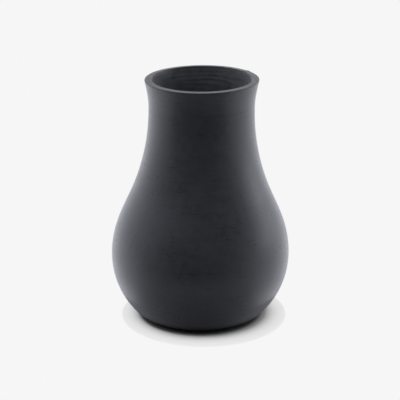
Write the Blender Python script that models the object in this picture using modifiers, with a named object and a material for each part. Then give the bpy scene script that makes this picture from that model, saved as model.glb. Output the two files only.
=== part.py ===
"""Charcoal clay vase with a pear shaped body, a narrow neck and a flared mouth, standing on four felt pads.

Metres, +Z up. The origin is on the surface that the vase stands on, under the middle of the body.
The body is one turned piece of fired clay, hollow down to a thick floor, with a shallow recess underneath.
Its heights are measured from the flat ring that it stands on, and the pads lift that ring off the surface.
"""
import math

import bmesh
import bpy
from mathutils import Vector
from mathutils.geometry import interpolate_bezier

# Outside of the body, from the foot up. Radii are from the axis, heights from the underside of the foot.
BODY_HEIGHT = 0.2782
FOOT_RADIUS = 0.0695
BELLY_RADIUS = 0.1028
BELLY_HEIGHT = 0.0714
SHOULDER_RADIUS = 0.0822
SHOULDER_HEIGHT = 0.1424
SHOULDER_SLOPE = math.radians(24.9)
NECK_RADIUS = 0.0596
NECK_HEIGHT = 0.2455
LIP_RADIUS = 0.0644
LIP_FLARE = math.radians(13.8)

# How far each curve runs straight on from its end before it bends, as a share of the way to its other end.
BELLY_FULLNESS = 0.39
SHOULDER_FULLNESS_BELOW = 0.32
SHOULDER_FULLNESS_ABOVE = 0.44
NECK_FULLNESS_BELOW = 0.20
NECK_FULLNESS_ABOVE = 0.12
LIP_FULLNESS = 0.60

# Thickness of the clay, square to the outside, and the rounding of the lip's two edges.
LIP_WALL = 0.0078
BELLY_WALL = 0.0085
HEEL_WALL = 0.0095
FLOOR_THICKNESS = 0.0110
INNER_HEEL_HEIGHT = 0.0120
LIP_OUTER_ROUNDING = 0.0010
LIP_INNER_ROUNDING = 0.0008

# Underside of the body: a flat standing ring round a shallow recess.
FOOT_RING_WIDTH = 0.0160
RECESS_DEPTH = 0.0025
FOOT_EDGE_ROUNDING = 0.0025
RECESS_EDGE_ROUNDING = 0.0010

# Felt pads under the standing ring, each held by a thin film of adhesive.
PAD_COUNT = 4
PAD_DIAMETER = 0.0100
PAD_THICKNESS = 0.0015
PAD_FILM = 0.0003
FIRST_PAD_ANGLE = math.radians(45)

# Smoothness of the meshes.
TURN_STEPS = 60
ARC_SPANS = 8
CURVE_SPANS = 6
ROUNDING_SPANS = 3
PAD_SIDES = 40
SHARP_ANGLE = math.radians(35)

UP = Vector((0.0, 0.0, 1.0))
OUT = Vector((1.0, 0.0, 0.0))
CIRCLE_HANDLE = 0.55
LIFT = PAD_THICKNESS + PAD_FILM


def at(radius, height):
    return Vector((radius, 0.0, height))


def clear_scene():
    for thing in list(bpy.data.objects):
        bpy.data.objects.remove(thing, do_unlink=True)


def make_collection(name):
    collection = bpy.data.collections.new(name)
    bpy.context.scene.collection.children.link(collection)
    return collection


def make_material(name, colour, roughness):
    material = bpy.data.materials.new(name)
    material.use_nodes = True
    shader = material.node_tree.nodes["Principled BSDF"]
    shader.inputs["Base Color"].default_value = (*colour, 1.0)
    shader.inputs["Roughness"].default_value = roughness
    shader.inputs["Metallic"].default_value = 0.0
    return material


def add_object(name, mesh, material, collection):
    mesh.materials.append(material)
    thing = bpy.data.objects.new(name, mesh)
    collection.objects.link(thing)
    return thing


def curve_between(start, leaving, leaving_share, end, arriving, arriving_share):
    """Points of one smooth curve, which leaves its start and reaches its end in the given directions."""
    span = (end - start).length
    first_handle = start + leaving * span * leaving_share
    last_handle = end - arriving * span * arriving_share
    return interpolate_bezier(start, first_handle, last_handle, end, CURVE_SPANS + 1)


def lower_body_arc(foot, belly):
    """Points of the one circular arc that rises from the foot and stands upright where it meets the belly."""
    run = belly.x - foot.x
    rise = belly.z - foot.z
    radius = (run * run + rise * rise) / (2 * run)
    centre = belly.x - radius
    whole = math.asin(rise / radius)
    angles = [whole * (1 - step / ARC_SPANS) for step in range(ARC_SPANS + 1)]
    return [at(centre + radius * math.cos(angle), belly.z - radius * math.sin(angle)) for angle in angles]


def outer_wall():
    """Points up the outside of the body, from the foot's edge to the lip's edge."""
    foot = at(FOOT_RADIUS, 0.0)
    belly = at(BELLY_RADIUS, BELLY_HEIGHT)
    shoulder = at(SHOULDER_RADIUS, SHOULDER_HEIGHT)
    neck = at(NECK_RADIUS, NECK_HEIGHT)
    lip = at(LIP_RADIUS, BODY_HEIGHT)
    over_shoulder = at(-math.sin(SHOULDER_SLOPE), math.cos(SHOULDER_SLOPE))
    out_to_lip = at(math.sin(LIP_FLARE), math.cos(LIP_FLARE))
    lower = lower_body_arc(foot, belly)
    upper = curve_between(belly, UP, BELLY_FULLNESS, shoulder, over_shoulder, SHOULDER_FULLNESS_BELOW)
    waist = curve_between(shoulder, over_shoulder, SHOULDER_FULLNESS_ABOVE, neck, UP, NECK_FULLNESS_BELOW)
    mouth = curve_between(neck, UP, NECK_FULLNESS_ABOVE, lip, out_to_lip, LIP_FULLNESS)
    return lower + upper[1:] + waist[1:] + mouth[1:]


def wall_thickness(height):
    if height < BELLY_HEIGHT:
        return HEEL_WALL + (BELLY_WALL - HEEL_WALL) * height / BELLY_HEIGHT
    share = (height - BELLY_HEIGHT) / (BODY_HEIGHT - BELLY_HEIGHT)
    return BELLY_WALL + (LIP_WALL - BELLY_WALL) * share


def set_in(points):
    """The same line moved into the clay by the wall's thickness, square to the line."""
    moved = []
    for index, point in enumerate(points):
        before = points[max(index - 1, 0)]
        after = points[min(index + 1, len(points) - 1)]
        along = (after - before).normalized()
        inward = at(-along.z, along.x)
        moved.append(point + inward * wall_thickness(point.z))
    return moved


def cut_between(points, low, high):
    """The part of a rising line between two heights, with a point exactly at each height."""
    kept = []
    for start, end in zip(points, points[1:]):
        for height in (low, high):
            if start.z < height <= end.z:
                kept.append(start.lerp(end, (height - start.z) / (end.z - start.z)))
        if low < end.z < high:
            kept.append(end)
    return sorted(kept, key=lambda point: point.z)


def inner_heel(wall_end, down_wall):
    """Points of the curve that turns the inside of the wall into the floor, down to where the floor is flat."""
    reach = (wall_end.z - FLOOR_THICKNESS) / -down_wall.z
    corner = wall_end + down_wall * reach
    floor_end = corner - OUT * reach
    first_handle = wall_end.lerp(corner, CIRCLE_HANDLE)
    last_handle = floor_end.lerp(corner, CIRCLE_HANDLE)
    return interpolate_bezier(wall_end, first_handle, last_handle, floor_end, CURVE_SPANS + 1)


def rounded(before, corner, after, radius):
    """Points of an arc of this radius that takes the place of a corner, kept within the lines that meet there."""
    back = (before - corner).normalized()
    ahead = (after - corner).normalized()
    half_angle = back.angle(ahead) / 2
    room = min((before - corner).length, (after - corner).length) / 2
    reach = min(radius / math.tan(half_angle), room)
    radius = reach * math.tan(half_angle)
    centre = corner + (back + ahead).normalized() * radius / math.sin(half_angle)
    start = (corner + back * reach - centre).normalized()
    end = (corner + ahead * reach - centre).normalized()
    return [centre + start.slerp(end, step / ROUNDING_SPANS) * radius for step in range(ROUNDING_SPANS + 1)]


def body_profile():
    """The body's half section: out along the floor inside, up the wall, over the lip, down and in underneath."""
    outside = outer_wall()
    inside = cut_between(set_in(outside), FLOOR_THICKNESS + INNER_HEEL_HEIGHT, BODY_HEIGHT)
    heel = inner_heel(inside[0], (inside[0] - inside[1]).normalized())
    outside.reverse()
    ring_edge = at(FOOT_RADIUS - FOOT_RING_WIDTH, 0.0)
    recess_edge = ring_edge + UP * RECESS_DEPTH
    recess_middle = at(0.0, RECESS_DEPTH)
    return (
        [at(0.0, FLOOR_THICKNESS)]
        + heel[::-1]
        + inside[1:-1]
        + rounded(inside[-2], inside[-1], outside[0], LIP_INNER_ROUNDING)
        + rounded(inside[-1], outside[0], outside[1], LIP_OUTER_ROUNDING)
        + outside[1:-1]
        + rounded(outside[-2], outside[-1], ring_edge, FOOT_EDGE_ROUNDING)
        + rounded(outside[-1], ring_edge, recess_edge, RECESS_EDGE_ROUNDING)
        + rounded(ring_edge, recess_edge, recess_middle, RECESS_EDGE_ROUNDING)
        + [recess_middle]
    )


def make_body(clay, collection):
    profile = body_profile()
    mesh = bpy.data.meshes.new("vase_body")
    mesh.from_pydata(profile, [(index, index + 1) for index in range(len(profile) - 1)], [])
    body = add_object("vase_body", mesh, clay, collection)
    body.location.z = LIFT
    turn = body.modifiers.new("Turn on the wheel", "SCREW")
    turn.axis = "Z"
    turn.steps = TURN_STEPS
    turn.render_steps = TURN_STEPS
    turn.use_merge_vertices = True
    turn.merge_threshold = 0.00005
    turn.use_smooth_shade = True
    return body


def make_pads(felt, collection):
    """Round felt pads, evenly spaced along the middle of the standing ring."""
    ring_middle = FOOT_RADIUS - FOOT_RING_WIDTH / 2
    for number in range(PAD_COUNT):
        angle = FIRST_PAD_ANGLE + 2 * math.pi * number / PAD_COUNT
        name = f"felt_pad_{number + 1}"
        shape = bmesh.new()
        bmesh.ops.create_cone(
            shape,
            cap_ends=True,
            segments=PAD_SIDES,
            radius1=PAD_DIAMETER / 2,
            radius2=PAD_DIAMETER / 2,
            depth=PAD_THICKNESS,
        )
        mesh = bpy.data.meshes.new(name)
        shape.to_mesh(mesh)
        shape.free()
        mesh.shade_smooth()
        mesh.set_sharp_from_angle(angle=SHARP_ANGLE)
        pad = add_object(name, mesh, felt, collection)
        pad.location = (ring_middle * math.cos(angle), ring_middle * math.sin(angle), PAD_THICKNESS / 2)


def main():
    clear_scene()
    collection = make_collection("Charcoal vase")
    clay = make_material("Charcoal clay", (0.030, 0.031, 0.035), 0.72)
    felt = make_material("Dark felt", (0.020, 0.020, 0.021), 0.95)
    make_body(clay, collection)
    make_pads(felt, collection)


main()
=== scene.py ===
"""Charcoal clay vase on a pale floor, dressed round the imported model.

Metres, +Z up, in the model's own frame. The vase stands on the floor at z = 0, with its axis on the Z axis.
"""
import math

import bmesh
import bpy
import numpy as np
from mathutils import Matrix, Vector, noise


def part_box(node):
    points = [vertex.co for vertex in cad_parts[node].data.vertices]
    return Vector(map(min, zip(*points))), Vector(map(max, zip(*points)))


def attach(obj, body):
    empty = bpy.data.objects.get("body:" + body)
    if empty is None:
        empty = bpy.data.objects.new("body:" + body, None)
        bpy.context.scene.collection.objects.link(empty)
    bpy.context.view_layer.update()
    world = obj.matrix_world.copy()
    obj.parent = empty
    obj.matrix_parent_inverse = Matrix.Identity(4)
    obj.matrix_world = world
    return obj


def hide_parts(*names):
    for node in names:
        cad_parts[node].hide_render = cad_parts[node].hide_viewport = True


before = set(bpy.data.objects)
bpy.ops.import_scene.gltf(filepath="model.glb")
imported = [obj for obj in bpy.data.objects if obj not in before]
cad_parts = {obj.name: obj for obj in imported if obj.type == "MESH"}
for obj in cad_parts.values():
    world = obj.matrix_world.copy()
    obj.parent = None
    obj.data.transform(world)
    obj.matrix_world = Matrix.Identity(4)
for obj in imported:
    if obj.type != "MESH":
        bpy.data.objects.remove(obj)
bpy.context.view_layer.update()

# Camera: where it stood, in metres and degrees, and where the vase sits in its picture.
CAMERA_DISTANCE = 1.54
CAMERA_ELEVATION = math.radians(19.05)
CAMERA_AIM = Vector((0.0, 0.0, 0.140))
CAMERA_LENS = 120.6
CAMERA_SENSOR = 36.0
CAMERA_SHIFT_X = 0.0006
CAMERA_SHIFT_Y = -0.0066

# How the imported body's half section is read: the decimals that tell its points apart, how near the axis it
# stops, and the angle in radians within which two points lie on one section.
SECTION_DECIMALS = 5
SECTION_START = 0.01
SECTION_ANGLE = 0.01

# How the section is cut into runs: by how much the spacing of its points changes between two of them, the
# spacing above which a run is wall and not a rounded edge, and the length above which one step is a flat.
RUN_BREAK = 2.5
WALL_SPACING = 0.003
FLAT_LENGTH = 0.03

# The body's fine surface: columns round the axis, and steps between rows on wall, rounded edges and flats.
TURN_COLUMNS = 192
WALL_STEP = 0.0014
ROUNDING_STEP = 0.00025
FLAT_STEP = 0.004

# Small departures from a true turned shape, as a hand at the wheel leaves them: a lean and a tilted mouth.
LEAN = 0.0088
LEAN_START = 0.004
MOUTH_TILT = Vector((0.005, 0.0047))
MOUTH_TILT_START = 0.200
MOUTH_TILT_END = 0.280

# The lip: the heights over which its own shape comes in, the radii of its two edges, how far its top rises
# inwards, with the share of that which is added at the back and taken off in front, the groove along it, its
# unevenness and the raised dent on its right.
LIP_SHAPE_START = 0.268
LIP_SHAPE_END = 0.2785
LIP_INNER = 0.0564
LIP_OUTER = 0.0641
LIP_RISE = 0.0004
LIP_RISE_AT_BACK = 1.0
LIP_GROOVE = 0.00022
LIP_GROOVE_WIDTH = 0.0016
LIP_WOBBLE = 0.00012
LIP_WOBBLE_REACH = 2.3
LIP_WOBBLE_LEVEL = 4.4
DENT_ANGLE = math.radians(33.4)
DENT_SPREAD = math.radians(3.6)
DENT_RISE = 0.0004
DENT_OUTWARD = 0.6

# Waves up the outside, slow and quick: how high they stand, how many to the metre, and where in the noise.
OUTER_WAVES = (
    (0.000112, 55, (3.7, 1.3)),
    (0.000035, 170, (8.1, 5.9)),
)

# Finger ridges round the inside, one long spiral: their depth and pitch, where they fade out below the lip,
# how narrow they are and how much of them is sunk. Noise, by reach round the axis and rate up it, shifts
# the spiral and varies its depth.
RING_DEPTH = 0.00034
RING_PITCH = 0.0054
RING_TOP = 0.2775
RING_FADE = 0.010
RING_SHARPNESS = 1.5
RING_SUNK = 0.4
RING_DRIFT = 1.3
RING_DRIFT_REACH = 1.2
RING_DRIFT_RATE = 52
RING_EVEN_SHARE = 0.70
RING_UNEVEN_SHARE = 0.9
RING_UNEVEN_REACH = 1.6
RING_UNEVEN_RATE = 70

# Below these heights the foot and the inside carry no waves or ridges.
PLAIN_FOOT = 0.006
PLAIN_FLOOR = 0.030

# A felt pad's half section, as shares of its radius and thickness, and how ragged its outer part is.
PAD_COLUMNS = 64
PAD_UNDERSIDE = [(0.30, 0.0), (0.60, 0.0), (0.80, 0.0)]
PAD_SIDE = [
    (0.90, 0.0),
    (0.97, 0.03),
    (1.0, 0.12),
    (1.0, 0.35),
    (0.995, 0.6),
    (1.0, 0.85),
    (0.985, 0.96),
    (0.93, 1.0),
]
PAD_TOP = [(0.80, 1.0), (0.50, 1.0)]
PAD_RAGGED = 0.018
PAD_RAGGED_FROM = 0.9
PAD_RAGGED_REACH = 11
PAD_RAGGED_RATES = Vector((198, 88, 4.4))

# The clay's patterns, each with its scale to the metre, its detail and its roughness.
CLOUD = (26.0, 4.0, 0.55)
MOTTLE = (110.0, 4.0, 0.65)
SCUFF = (75.0, 5.0, 0.75)
GRAIN = (1500.0, 3.0, 0.6)
BRUSH = (1.0, 4.0, 0.6)
BRUSH_STRETCH = Vector((16.0, 16.0, 420.0))
TURNING_LINES = (900.0, 3.0, 0.6)
LINE_WARP = (14.0, 2.0, 0.5)
LINE_DRIFT = 0.0012

# How much each pattern adds to the clay's shade, and the sums that count as fully dark and fully light.
CLOUD_SHARE = 0.36
BRUSH_SHARE = 0.26
MOTTLE_SHARE = 0.38
SHADE_DARK = 0.39
SHADE_LIGHT = 0.58

# Two levels of a pattern, and what it gives at each: the share of a colour, or the clay's roughness.
SPECK_SHOWS = (0.60, 0.80, 0.0, 0.35)
SCUFF_SHOWS = (0.69, 0.76, 0.0, 0.7)
CLAY_ROUGHNESS = (0.0, 1.0, 0.25, 0.40)

# Relief of the clay: how strongly each pattern shows, and its depth.
LINE_BUMP = (0.40, 0.00008)
BRUSH_BUMP = (0.35, 0.00022)
GRAIN_BUMP = (0.35, 0.00005)

# Colours of the clay, dark and light, on the wall and on the inside, and of what shows on it. The inside's
# colours are painted lighter, painted light falling into the mouth, and the heel's colour is painted shade.
CLAY_COLOURS = ((0.0058, 0.0066, 0.0100, 1.0), (0.0150, 0.0160, 0.0212, 1.0))
INNER_PAINTED_LIGHT_COLOURS = ((0.0280, 0.0300, 0.0370, 1.0), (0.0560, 0.0580, 0.0670, 1.0))
SPECK_COLOUR = (0.028, 0.028, 0.032, 1.0)
SCUFF_COLOUR = (0.034, 0.034, 0.037, 1.0)
HEEL_SHADE_COLOUR = (0.0015, 0.0016, 0.0020, 1.0)
SHINE_TINT = (0.86, 0.90, 1.0, 1.0)

# The clay's dusty sheen and its shine. Down at the heel the clay darkens, by height, in painted shade, and
# its sheen falls from band to band, in shaded copies of the clay that stand in for the shade near the floor.
# Each band ends at its own height, and the lowest one also shines less.
SHEEN = 0.88
SHEEN_TINT = (0.86, 0.88, 1.0, 1.0)
SHINE = 0.28
# The inside's clay is a lit copy: less sheen, with its lighter colours, paints light into the middle of the
# mouth.
INNER_SHEEN = 0.40
LIP_SHEEN = 0.58
LIP_SHEEN_TINT = (0.93, 0.93, 0.98, 1.0)
HEEL_PAINTED_SHADE = [(0.002, 1.0), (0.008, 1.0), (0.014, 0.95), (0.022, 0.85), (0.032, 0.45), (0.055, 0.0)]
HEEL_SHADE_TOPS = [0.0440, 0.0350, 0.0280, 0.0220, 0.0170, 0.0132, 0.0103, 0.0078]
HEEL_SHADE_SHEENS = [0.82, 0.75, 0.68, 0.60, 0.50, 0.37, 0.22, 0.05]
HEEL_SHADE_SHINE = 0.14

# Which clay is where: the body's material slots, the height where the inside's clay ends, and the height
# and the upward part of its direction above which a face belongs to the lip's top.
WALL_SLOT = 0
INNER_SLOT = 1
LIP_SLOT = 2
HEEL_SHADE_SLOT = 3
INNER_CLAY_TOP = 0.2775
LIP_FROM = 0.270
LIP_LEVEL = 0.7

# Pressed felt: its patterns, how they show, its colours and its relief, given as the clay's are.
FELT_FIBRE = (2600.0, 4.0, 0.7)
FELT_CLOUD = (420.0, 2.0, 0.5)
FELT_FIBRE_SHOWS = (0.35, 0.7, 0.0, 1.0)
FELT_ROUGHNESS = (0.3, 0.7, 0.88, 0.98)
FELT_COLOURS = ((0.012, 0.012, 0.013, 1.0), (0.034, 0.034, 0.036, 1.0))
FELT_BUMP = (0.6, 0.0001)

# Light from the room: bright above and on the left, dull high up behind, with a soft lamp low on the right.
ROOM_RADIUS = 6.0
ROOM_FINENESS = 4
ROOM_DULLEST = 0.25
ROOM_BRIGHTEST = 1.54
BRIGHT_SIDE = Vector((-0.352, 0.310, 0.883))
BRIGHT_FROM = 0.09
BRIGHT_TO = 0.883
DULL_SIDE = Vector((-0.127, 0.784, 0.607))
DULL_STRENGTH = -1.15
DULL_TIGHTNESS = 4.4
LAMP_SIDE = Vector((0.978, 0.208, 0.0))
LAMP_STRENGTH = 3.6
LAMP_TIGHTNESS = 14.0

# Light off the floor: bright behind and beside the vase, and in front by the distance from the axis. The
# vase stands on a dark disc, painted shade for the shade round its foot, which ends between two radii.
FLOOR_LIGHT_HEIGHT = -0.0005
FLOOR_BRIGHT_SIDE = Vector((0.098, 0.995, 0.0))
FLOOR_TURNS_FROM = -0.662
FLOOR_TURNS_TO = -0.280
FLOOR_FRONT = [(0.106, 0.03), (0.150, 0.14), (0.200, 0.50), (0.300, 0.42), (0.450, 0.05)]
FOOT_SHADE = (0.015, 0.015, 0.015, 1.0)
FOOT_SHADE_FROM = 0.104
FOOT_SHADE_TO = 0.108

# What the camera sees round the vase: a floor of plain white, and the same white past it.
WHITE = 0.9216
FLOOR_REACH = 30.0

# The shadow on the floor, by distance from its own middle, partly real shade and partly painted shadow: how
# dark the floor's colour is painted close to the foot, how much of the plain white shows over it further out,
# and the edge past which all is plain white.
PATCH_MIDDLE = Vector((0.0035, -0.0020, 0.0))
PATCH_PAINTED_SHADOW_MIDDLE = Vector((-0.0004, -0.0006, 0.0))
PATCH_PAINTED_SHADOW = [(0.0695, 0.16), (0.071, 0.33), (0.073, 0.57), (0.075, 0.88), (0.077, 0.97)]
PATCH_FADE = [
    (0.0732, 0.00),
    (0.075, 0.10),
    (0.077, 0.23),
    (0.079, 0.31),
    (0.081, 0.40),
    (0.083, 0.49),
    (0.085, 0.56),
    (0.087, 0.61),
    (0.089, 0.65),
    (0.091, 0.68),
    (0.094, 0.71),
    (0.098, 0.74),
    (0.102, 0.75),
]
PATCH_EDGE_MIDDLE = Vector((0.0046, -0.0073, 0.0))
PATCH_EDGE_FROM = 0.0900
PATCH_EDGE_TO = 0.0975


class Nodes:
    """A short way to build a material's node tree: most calls add one node and return its output."""

    def __init__(self, tree):
        self.tree = tree

    def add(self, kind, **values):
        node = self.tree.nodes.new(kind)
        for name, value in values.items():
            setattr(node, name, value)
        return node

    def feed(self, socket, value):
        if isinstance(value, bpy.types.NodeSocket):
            self.tree.links.new(value, socket)
        elif value is not None:
            socket.default_value = value

    def feed_named(self, node, values):
        """Feeds each value to the node's input of that name."""
        for name, value in values.items():
            self.feed(node.inputs[name], value)

    def feed_in_order(self, node, *values):
        for socket, value in zip(node.inputs, values):
            self.feed(socket, value)

    def place(self):
        """Where the surface is, in metres."""
        return self.add("ShaderNodeTexCoord").outputs["Object"]

    def math(self, operation, first, second=None, third=None):
        node = self.add("ShaderNodeMath", operation=operation)
        self.feed_in_order(node, first, second, third)
        return node.outputs[0]

    def vector(self, operation, first, second=None):
        node = self.add("ShaderNodeVectorMath", operation=operation)
        self.feed_in_order(node, first, second)
        return node.outputs["Vector"]

    def measure(self, operation, first, second=None):
        """The number that a vector operation such as a length or a distance gives."""
        node = self.add("ShaderNodeVectorMath", operation=operation)
        self.feed_in_order(node, first, second)
        return node.outputs["Value"]

    def mapped(self, value, low, high, to_low, to_high, smooth=False):
        node = self.add("ShaderNodeMapRange", interpolation_type="SMOOTHSTEP" if smooth else "LINEAR")
        self.feed_named(node, {"Value": value, "From Min": low, "From Max": high})
        self.feed_named(node, {"To Min": to_low, "To Max": to_high})
        return node.outputs["Result"]

    def mix_colour(self, share, first, second):
        """Inputs 6 and 7 and output 2 are the node's sockets for colours."""
        node = self.add("ShaderNodeMix", data_type="RGBA")
        self.feed(node.inputs["Factor"], share)
        self.feed(node.inputs[6], first)
        self.feed(node.inputs[7], second)
        return node.outputs[2]

    def mix_shader(self, share, first, second):
        node = self.add("ShaderNodeMixShader")
        self.feed_in_order(node, share, first, second)
        return node.outputs[0]

    def glow(self, strength):
        node = self.add("ShaderNodeEmission")
        self.feed(node.inputs["Strength"], strength)
        return node.outputs[0]

    def ramp(self, value, stops):
        """A grey that runs through the given (value, level) stops, and stays level beyond them."""
        node = self.add("ShaderNodeValToRGB")
        first, last = stops[0], stops[-1]
        elements = node.color_ramp.elements
        elements[0].color = (first[1], first[1], first[1], 1.0)
        elements[1].color = (last[1], last[1], last[1], 1.0)
        for at, level in stops[1:-1]:
            elements.new((at - first[0]) / (last[0] - first[0])).color = (level, level, level, 1.0)
        self.feed(node.inputs[0], self.mapped(value, first[0], last[0], 0.0, 1.0))
        return node.outputs[0]

    def noise(self, place, scale, detail, rough):
        node = self.add("ShaderNodeTexNoise", noise_dimensions="3D")
        self.feed_named(node, {"Vector": place, "Scale": scale, "Detail": detail, "Roughness": rough})
        return node.outputs["Fac"]

    def line_noise(self, along, scale, detail, rough):
        """Noise that changes in one direction only."""
        node = self.add("ShaderNodeTexNoise", noise_dimensions="1D")
        self.feed_named(node, {"W": along, "Scale": scale, "Detail": detail, "Roughness": rough})
        return node.outputs["Fac"]

    def bump(self, height, strength, depth, normal=None):
        node = self.add("ShaderNodeBump")
        self.feed_named(node, {"Height": height, "Strength": strength, "Distance": depth, "Normal": normal})
        return node.outputs["Normal"]

    def show(self, shader):
        """Makes this shader the material's surface."""
        output = next(node for node in self.tree.nodes if node.type == "OUTPUT_MATERIAL")
        self.feed(output.inputs["Surface"], shader)


def new_material(name):
    material = bpy.data.materials.new(name)
    material.use_nodes = True
    tree = material.node_tree
    return material, Nodes(tree), tree.nodes["Principled BSDF"]


def clay_material(name, colours, sheen, shine, sheen_tint=SHEEN_TINT):
    """Matte charcoal clay: cloudy colour, fine grain, faint turning lines and a velvety, dusty surface."""
    material, n, shader = new_material(name)
    place = n.place()
    split = n.add("ShaderNodeSeparateXYZ")
    n.feed(split.inputs[0], place)
    height = split.outputs["Z"]
    cloud = n.noise(place, *CLOUD)
    mottle = n.noise(place, *MOTTLE)
    grain = n.noise(place, *GRAIN)
    brush = n.noise(n.vector("MULTIPLY", place, BRUSH_STRETCH), *BRUSH)
    level = n.math("MULTIPLY_ADD", n.noise(place, *LINE_WARP), LINE_DRIFT, height)
    lines = n.line_noise(level, *TURNING_LINES)
    shade = n.math("MULTIPLY_ADD", brush, BRUSH_SHARE, n.math("MULTIPLY", cloud, CLOUD_SHARE))
    shade = n.math("MULTIPLY_ADD", mottle, MOTTLE_SHARE, shade)
    shade = n.mapped(shade, SHADE_DARK, SHADE_LIGHT, 0.0, 1.0)
    colour = n.mix_colour(shade, *colours)
    colour = n.mix_colour(n.mapped(grain, *SPECK_SHOWS), colour, SPECK_COLOUR)
    colour = n.mix_colour(n.mapped(n.noise(place, *SCUFF), *SCUFF_SHOWS), colour, SCUFF_COLOUR)
    # Painted shade: the clay's colour darkens towards the foot, standing in for the shade near the floor.
    colour = n.mix_colour(n.ramp(height, HEEL_PAINTED_SHADE), colour, HEEL_SHADE_COLOUR)
    normal = n.bump(lines, *LINE_BUMP)
    normal = n.bump(brush, *BRUSH_BUMP, normal)
    normal = n.bump(grain, *GRAIN_BUMP, normal)
    n.feed_named(shader, {
        "Base Color": colour,
        "Roughness": n.mapped(shade, *CLAY_ROUGHNESS),
        "IOR": 1.5,
        "Specular IOR Level": shine,
        "Specular Tint": SHINE_TINT,
        "Sheen Weight": sheen,
        "Sheen Roughness": 0.5,
        "Sheen Tint": sheen_tint,
        "Normal": normal,
    })
    return material


def clay_materials():
    """The body's clays in the order of its slots: wall, inside painted lighter, lip, and the heel's shaded
    copies.
    """
    clays = [
        clay_material("Charcoal clay", CLAY_COLOURS, SHEEN, SHINE),
        clay_material("Charcoal clay inside painted lighter", INNER_PAINTED_LIGHT_COLOURS, INNER_SHEEN, SHINE),
        clay_material("Charcoal clay lip", CLAY_COLOURS, LIP_SHEEN, SHINE, LIP_SHEEN_TINT),
    ]
    # The heel's clays are shaded copies, with less sheen band by band, that paint the shade near the floor.
    for number, sheen in enumerate(HEEL_SHADE_SHEENS, 1):
        shine = HEEL_SHADE_SHINE if number == len(HEEL_SHADE_SHEENS) else SHINE
        clays.append(clay_material(f"Charcoal clay heel {number}", CLAY_COLOURS, sheen, shine))
    return clays


def felt_material():
    """Pressed dark felt: matted fibres, lighter where they stand up."""
    material, n, shader = new_material("Pressed felt")
    place = n.place()
    fibre = n.noise(place, *FELT_FIBRE)
    cloud = n.noise(place, *FELT_CLOUD)
    n.feed_named(shader, {
        "Base Color": n.mix_colour(n.mapped(fibre, *FELT_FIBRE_SHOWS), *FELT_COLOURS),
        "Roughness": n.mapped(cloud, *FELT_ROUGHNESS),
        "Specular IOR Level": 0.2,
        "Sheen Weight": 0.3,
        "Sheen Roughness": 0.6,
        "Normal": n.bump(fibre, *FELT_BUMP),
    })
    return material


def section_place(vertex):
    radius = math.hypot(vertex.co.x, vertex.co.y)
    return round(radius, SECTION_DECIMALS), round(vertex.co.z, SECTION_DECIMALS)


def outline_of(mesh):
    """A turned mesh's half section as (radius, height) points, from the inner floor round to the recess."""
    places = [section_place(vertex) for vertex in mesh.vertices]
    angles = [math.atan2(vertex.co.y, vertex.co.x) for vertex in mesh.vertices]
    joined = {}
    for edge in mesh.edges:
        a, b = edge.vertices
        turn = abs(math.remainder(angles[a] - angles[b], math.tau))
        nearest = min(places[a][0], places[b][0])
        if places[a] != places[b] and nearest > SECTION_START and turn < SECTION_ANGLE:
            joined.setdefault(places[a], set()).add(places[b])
            joined.setdefault(places[b], set()).add(places[a])
    ends = [place for place, others in joined.items() if len(others) == 1]
    walk = [max(ends, key=lambda place: place[1])]
    while True:
        onward = [place for place in joined[walk[-1]] if place not in walk[-2:]]
        if not onward:
            break
        walk.append(onward[0])
    return np.array([(0.0, walk[0][1])] + walk + [(0.0, walk[-1][1])])


def split_runs(points):
    """Cuts a line of points where their spacing changes suddenly, so that each run is smoothed by itself."""
    gaps = np.linalg.norm(np.diff(points, axis=0), axis=1)
    runs, start = [], 0
    for index in range(1, len(gaps)):
        ratio = gaps[index] / gaps[index - 1]
        if ratio > RUN_BREAK or ratio < 1 / RUN_BREAK:
            runs.append(points[start:index + 1])
            start = index
    runs.append(points[start:])
    return runs


def smooth_line(points, spacing):
    """A natural cubic spline through the points, sampled at about this spacing."""
    along = np.concatenate([[0.0], np.cumsum(np.linalg.norm(np.diff(points, axis=0), axis=1))])
    count = max(2, int(round(along[-1] / spacing)) + 1)
    wanted = np.linspace(0.0, along[-1], count)
    if len(points) == 2:
        return np.array([points[0] + (points[1] - points[0]) * t / along[-1] for t in wanted])
    step = np.diff(along)
    size = len(points)
    matrix = np.zeros((size, size))
    right = np.zeros((size, 2))
    matrix[0, 0] = matrix[-1, -1] = 1.0
    for k in range(1, size - 1):
        matrix[k, k - 1:k + 2] = step[k - 1], 2 * (step[k - 1] + step[k]), step[k]
        right[k] = 6 * ((points[k + 1] - points[k]) / step[k] - (points[k] - points[k - 1]) / step[k - 1])
    bend = np.linalg.solve(matrix, right)
    line = []
    for t in wanted:
        k = min(int(np.searchsorted(along, t, side="right")) - 1, size - 2)
        h, a, b = step[k], along[k + 1] - t, t - along[k]
        line.append(
            bend[k] * a ** 3 / (6 * h)
            + bend[k + 1] * b ** 3 / (6 * h)
            + (points[k] / h - bend[k] * h / 6) * a
            + (points[k + 1] / h - bend[k + 1] * h / 6) * b
        )
    return np.array(line)


def fine_outline(points):
    """The outline as closely spaced points, closest on its rounded edges."""
    fine = []
    for run in split_runs(points):
        lengths = np.linalg.norm(np.diff(run, axis=0), axis=1)
        spacing = WALL_STEP if lengths.max() > WALL_SPACING else ROUNDING_STEP
        if len(run) == 2 and lengths[0] > FLAT_LENGTH:
            spacing = FLAT_STEP
        line = smooth_line(run, spacing)
        fine.extend(line if not fine else line[1:])
    return np.array(fine)


def eased(value, low, high):
    share = min(max((value - low) / (high - low), 0.0), 1.0)
    return share * share * (3 - 2 * share)


def hill(away, spread):
    """A smooth hill that is 1 high at its middle and dies away over about this spread."""
    return math.exp(-(away / spread) ** 2)


def noise_round(angle, reach, level):
    """Noise round a circle, so that it joins up with itself."""
    return noise.noise(Vector((math.cos(angle) * reach, math.sin(angle) * reach, level)))


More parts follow.
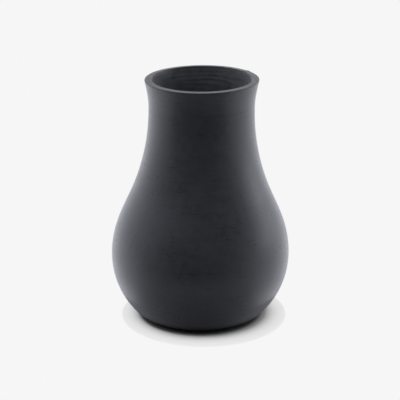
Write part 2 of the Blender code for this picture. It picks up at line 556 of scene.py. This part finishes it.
def wall_waves(height):
    """How far the outside stands proud at this height."""
    return sum(size * noise.noise(Vector((*place, height * rate))) for size, rate, place in OUTER_WAVES)


def ring_marks(height, angle):
    """How far the inside stands proud at this height and angle."""
    fade = 1 - eased(height, RING_TOP - RING_FADE, RING_TOP)
    drift = RING_DRIFT * noise_round(angle, RING_DRIFT_REACH, height * RING_DRIFT_RATE)
    turn = height / RING_PITCH - angle / math.tau + drift
    ridge = (1 + math.cos(math.tau * turn)) / 2
    unevenness = RING_UNEVEN_SHARE * noise_round(angle, RING_UNEVEN_REACH, height * RING_UNEVEN_RATE)
    return RING_DEPTH * fade * (RING_EVEN_SHARE + unevenness) * (ridge ** RING_SHARPNESS - RING_SUNK)


def lip_rise(radius, angle):
    """How far the lip's top stands above its outer edge here, less the groove along it."""
    inward = (LIP_OUTER - radius) / (LIP_OUTER - LIP_INNER)
    groove = LIP_GROOVE * hill(radius - (LIP_INNER + LIP_OUTER) / 2, LIP_GROOVE_WIDTH)
    return LIP_RISE * (1 + LIP_RISE_AT_BACK * math.sin(angle)) * inward - groove


def body_point(radius, height, normal, inside, angle):
    """Where a point of the true outline ends up on the body that the hand made."""
    push = ring_marks(height, angle) if inside else wall_waves(height)
    if height < PLAIN_FOOT or (inside and height < PLAIN_FLOOR):
        push = 0.0
    radius += normal[0] * push
    height += normal[1] * push
    near_top = eased(height, LIP_SHAPE_START, LIP_SHAPE_END)
    wobble = LIP_WOBBLE * noise_round(angle, LIP_WOBBLE_REACH, LIP_WOBBLE_LEVEL)
    dent = DENT_RISE * hill(math.remainder(angle - DENT_ANGLE, math.tau), DENT_SPREAD)
    height += near_top * (lip_rise(radius, angle) + wobble + dent)
    radius += near_top * (DENT_OUTWARD * dent + wobble)
    x, y = radius * math.cos(angle), radius * math.sin(angle)
    height += MOUTH_TILT.dot(Vector((x, y))) * eased(height, MOUTH_TILT_START, MOUTH_TILT_END)
    x += LEAN * max(height - LEAN_START, 0.0)
    return x, y, height


def turned_vertices(outline):
    """The middle of the body's floor, then row after row along its outline, then the middle of its recess."""
    # The lip's top is level, and with this slight preference its inner edge counts as the highest point.
    inner_preference = 0.001
    top = int(np.argmax(outline[:, 1] - outline[:, 0] * inner_preference))
    tangent = np.gradient(outline, axis=0)
    normals = np.stack([-tangent[:, 1], tangent[:, 0]], axis=1)
    normals /= np.linalg.norm(normals, axis=1)[:, None]
    vertices = [(0.0, 0.0, outline[0][1])]
    for index in range(1, len(outline) - 1):
        radius, height = outline[index]
        for column in range(TURN_COLUMNS):
            angle = math.tau * column / TURN_COLUMNS
            vertices.append(body_point(radius, height, normals[index], index < top, angle))
    vertices.append((0.0, 0.0, outline[-1][1]))
    return vertices


def turned_faces(rows):
    """The faces between so many rows of vertices, and the two fans that close them at their middles."""
    last_row = 1 + (rows - 1) * TURN_COLUMNS
    last_middle = last_row + TURN_COLUMNS
    faces = []
    for column in range(TURN_COLUMNS):
        after = (column + 1) % TURN_COLUMNS
        faces.append((0, 1 + column, 1 + after))
        for low in range(1, last_row, TURN_COLUMNS):
            high = low + TURN_COLUMNS
            faces.append((low + column, high + column, high + after, low + after))
        faces.append((last_row + column, last_middle, last_row + after))
    return faces


def clay_slot(face, inner_rows):
    """The slot of the clay that a face of the body has."""
    row = (min(face.vertices) - 1) // TURN_COLUMNS
    bands = sum(face.center.z < top for top in HEEL_SHADE_TOPS)
    if face.center.z > LIP_FROM and face.normal.z > LIP_LEVEL:
        return LIP_SLOT
    if row < inner_rows:
        return INNER_SLOT
    return HEEL_SHADE_SLOT + bands - 1 if bands else WALL_SLOT


def make_body(node, clays):
    """The one piece of clay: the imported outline, made fine and turned with the marks that the hand left."""
    outline = fine_outline(outline_of(node.data))
    inner_rows = int(np.argmax(outline[:, 1] > INNER_CLAY_TOP)) - 1
    mesh = bpy.data.meshes.new("vase_clay")
    mesh.from_pydata(turned_vertices(outline), [], turned_faces(len(outline) - 2))
    for clay in clays:
        mesh.materials.append(clay)
    for face in mesh.polygons:
        face.material_index = clay_slot(face, inner_rows)
    mesh.shade_smooth()
    body = bpy.data.objects.new("vase_clay", mesh)
    bpy.context.scene.collection.objects.link(body)
    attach(body, "root")
    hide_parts(node.name)


def make_pad(node, material):
    """A punched felt disc: a flat underside, a soft upper edge and a slightly ragged side."""
    low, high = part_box(node.name)
    middle = (low + high) / 2
    radius = (high.x - low.x) / 2
    thickness = high.z - low.z
    shape = bmesh.new()
    rings = []
    for share, lift in PAD_UNDERSIDE + PAD_SIDE + PAD_TOP:
        level = PAD_RAGGED_RATES.dot(Vector((middle.x, middle.y, lift)))
        ring = []
        for column in range(PAD_COLUMNS):
            angle = math.tau * column / PAD_COLUMNS
            reach = radius * share
            if share > PAD_RAGGED_FROM:
                reach *= 1 + PAD_RAGGED * noise_round(angle, PAD_RAGGED_REACH, level)
            x, y = middle.x + reach * math.cos(angle), middle.y + reach * math.sin(angle)
            ring.append(shape.verts.new((x, y, low.z + thickness * lift)))
        rings.append(ring)
    for below, above in zip(rings, rings[1:]):
        for column in range(PAD_COLUMNS):
            after = (column + 1) % PAD_COLUMNS
            shape.faces.new((below[column], below[after], above[after], above[column]))
    foot = shape.verts.new((middle.x, middle.y, low.z))
    crown = shape.verts.new((middle.x, middle.y, high.z))
    for column in range(PAD_COLUMNS):
        after = (column + 1) % PAD_COLUMNS
        shape.faces.new((rings[0][after], rings[0][column], foot))
        shape.faces.new((rings[-1][column], rings[-1][after], crown))
    bmesh.ops.recalc_face_normals(shape, faces=shape.faces)
    mesh = bpy.data.meshes.new(node.name + "_felt")
    shape.to_mesh(mesh)
    shape.free()
    mesh.materials.append(material)
    mesh.shade_smooth()
    pad = bpy.data.objects.new(node.name + "_felt", mesh)
    bpy.context.scene.collection.objects.link(pad)
    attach(pad, "root")
    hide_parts(node.name)


def flat_square(name, reach, height, material):
    mesh = bpy.data.meshes.new(name)
    corners = [(-reach, -reach), (reach, -reach), (reach, reach), (-reach, reach)]
    mesh.from_pydata([(x, y, height) for x, y in corners], [], [(0, 1, 2, 3)])
    mesh.materials.append(material)
    square = bpy.data.objects.new(name, mesh)
    bpy.context.scene.collection.objects.link(square)
    return square


def make_floor():
    """The pale floor that the camera sees, white with the vase's shadow on it. It lights nothing."""
    material, n, shader = new_material("Pale floor")
    place = n.place()
    # Painted shadow: the floor's colour darkens close to the foot, over the real shade that the floor
    # receives.
    dark = n.ramp(n.measure("DISTANCE", place, PATCH_PAINTED_SHADOW_MIDDLE), PATCH_PAINTED_SHADOW)
    fade = n.ramp(n.measure("DISTANCE", place, PATCH_MIDDLE), PATCH_FADE)
    reach = n.measure("DISTANCE", place, PATCH_EDGE_MIDDLE)
    edge = n.mapped(reach, PATCH_EDGE_FROM, PATCH_EDGE_TO, 0.0, 1.0, smooth=True)
    n.feed_named(shader, {"Base Color": dark, "Roughness": 1.0, "Specular IOR Level": 0.0})
    n.show(n.mix_shader(n.math("MAXIMUM", fade, edge), shader.outputs[0], n.glow(WHITE)))
    floor = flat_square("floor", FLOOR_REACH, 0.0, material)
    floor.visible_diffuse = False
    floor.visible_glossy = False
    floor.visible_shadow = False


def make_floor_light():
    """The light that comes off the floor, which the camera doesn't see."""
    material, n, shader = new_material("Light off the floor")
    place = n.place()
    away = n.measure("LENGTH", place)
    towards = n.measure("DOT_PRODUCT", n.vector("NORMALIZE", place), FLOOR_BRIGHT_SIDE)
    level = n.mapped(towards, FLOOR_TURNS_FROM, FLOOR_TURNS_TO, n.ramp(away, FLOOR_FRONT), 1.0, smooth=True)
    lit = n.mapped(away, FOOT_SHADE_FROM, FOOT_SHADE_TO, 0.0, 1.0)
    # Painted shade: a dark disc under the vase, which gives back almost no light.
    n.feed_named(shader, {"Base Color": FOOT_SHADE, "Roughness": 1.0, "Specular IOR Level": 0.0})
    n.show(n.mix_shader(lit, shader.outputs[0], n.glow(level)))
    flat_square("floor_light", ROOM_RADIUS, FLOOR_LIGHT_HEIGHT, material).visible_camera = False


def make_room():
    """The soft room round the vase: a great dome of light, which the camera looks through."""
    material, n = new_material("Soft room")[:2]
    outward = n.vector("NORMALIZE", n.place())
    towards = n.measure("DOT_PRODUCT", outward, BRIGHT_SIDE)
    level = n.mapped(towards, BRIGHT_FROM, BRIGHT_TO, ROOM_DULLEST, ROOM_BRIGHTEST, smooth=True)
    for side, strength, tightness in (
        (DULL_SIDE, DULL_STRENGTH, DULL_TIGHTNESS),
        (LAMP_SIDE, LAMP_STRENGTH, LAMP_TIGHTNESS),
    ):
        nearness = n.math("MULTIPLY_ADD", n.measure("DOT_PRODUCT", outward, side), tightness, -tightness)
        level = n.math("MULTIPLY_ADD", n.math("EXPONENT", nearness), strength, level)
    n.show(n.glow(n.math("MAXIMUM", level, ROOM_DULLEST)))
    shape = bmesh.new()
    bmesh.ops.create_icosphere(shape, subdivisions=ROOM_FINENESS, radius=ROOM_RADIUS)
    mesh = bpy.data.meshes.new("room")
    shape.to_mesh(mesh)
    shape.free()
    mesh.materials.append(material)
    room = bpy.data.objects.new("room", mesh)
    bpy.context.scene.collection.objects.link(room)
    room.visible_camera = False


def make_world():
    """The white that the camera sees past the floor."""
    world = bpy.data.worlds.new("White backdrop")
    bpy.context.scene.world = world
    world.use_nodes = True
    back = world.node_tree.nodes["Background"]
    back.inputs["Color"].default_value = (1.0, 1.0, 1.0, 1.0)
    back.inputs["Strength"].default_value = WHITE


def make_camera():
    data = bpy.data.cameras.new("camera")
    data.lens = CAMERA_LENS
    data.sensor_width = CAMERA_SENSOR
    data.shift_x = CAMERA_SHIFT_X
    data.shift_y = CAMERA_SHIFT_Y
    camera = bpy.data.objects.new("camera", data)
    bpy.context.scene.collection.objects.link(camera)
    back = Vector((0.0, -math.cos(CAMERA_ELEVATION), math.sin(CAMERA_ELEVATION)))
    camera.location = CAMERA_AIM + back * CAMERA_DISTANCE
    camera.rotation_euler = (-back).to_track_quat("-Z", "Y").to_euler()
    bpy.context.scene.camera = camera


clays = clay_materials()
felt = felt_material()
make_body(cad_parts["vase_body"], clays)
for name, node in sorted(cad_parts.items()):
    if name.startswith("felt_pad"):
        make_pad(node, felt)
make_floor()
make_floor_light()
make_room()
make_world()
make_camera()
bpy.context.scene.view_settings.view_transform = "Standard"

bpy.context.view_layer.update()
